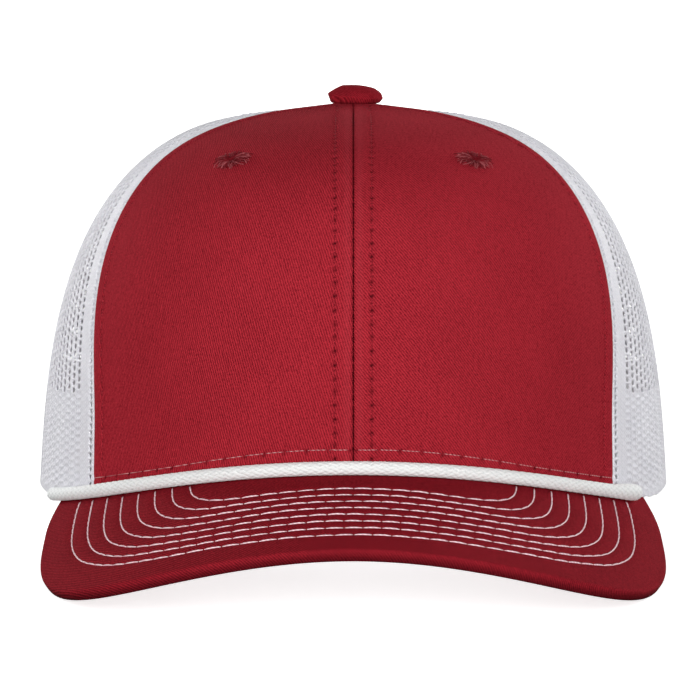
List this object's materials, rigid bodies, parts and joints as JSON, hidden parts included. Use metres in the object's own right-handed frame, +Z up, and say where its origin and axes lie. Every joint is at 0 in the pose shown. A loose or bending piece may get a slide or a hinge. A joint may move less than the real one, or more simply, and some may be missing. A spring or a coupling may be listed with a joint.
{
  "type": "trucker cap",
  "caption": "Trucker cap with cloth front panels, net sides and back, curved peak, rope trim, top button, eyelets, sweatband and strap-closed rear arch.",
  "frame": {"origin": "on the table under the middle of the cap's box", "axes": "+Z up, the peak points along -Y, and +X is the viewer's right when facing the peak"},
  "size_m": [0.1698, 0.2626, 0.1115],
  "materials": {
    "front_twill": "red cotton twill",
    "peak_twill": "red cotton twill over a board, stitched in rows",
    "button_twill": "red twill over a metal button",
    "eyelet_thread": "dark red embroidery thread",
    "net": "white knitted polyester net",
    "rope": "white braided cord",
    "sweatband": "white cotton twill",
    "binding": "white woven tape",
    "strap": "white moulded plastic"
  },
  "bodies": {
    "root": {"front_panel_left": "front_twill", "front_panel_right": "front_twill", "side_panel_left": "net", "side_panel_right": "net", "back_panel_left": "net", "back_panel_right": "net", "peak": "peak_twill", "rope": "rope", "sweatband": "sweatband", "closure_binding": "binding", "snap_strap": "strap", "button": "button_twill", "eyelet_left": "eyelet_thread", "eyelet_right": "eyelet_thread"}
  },
  "joints": []
}
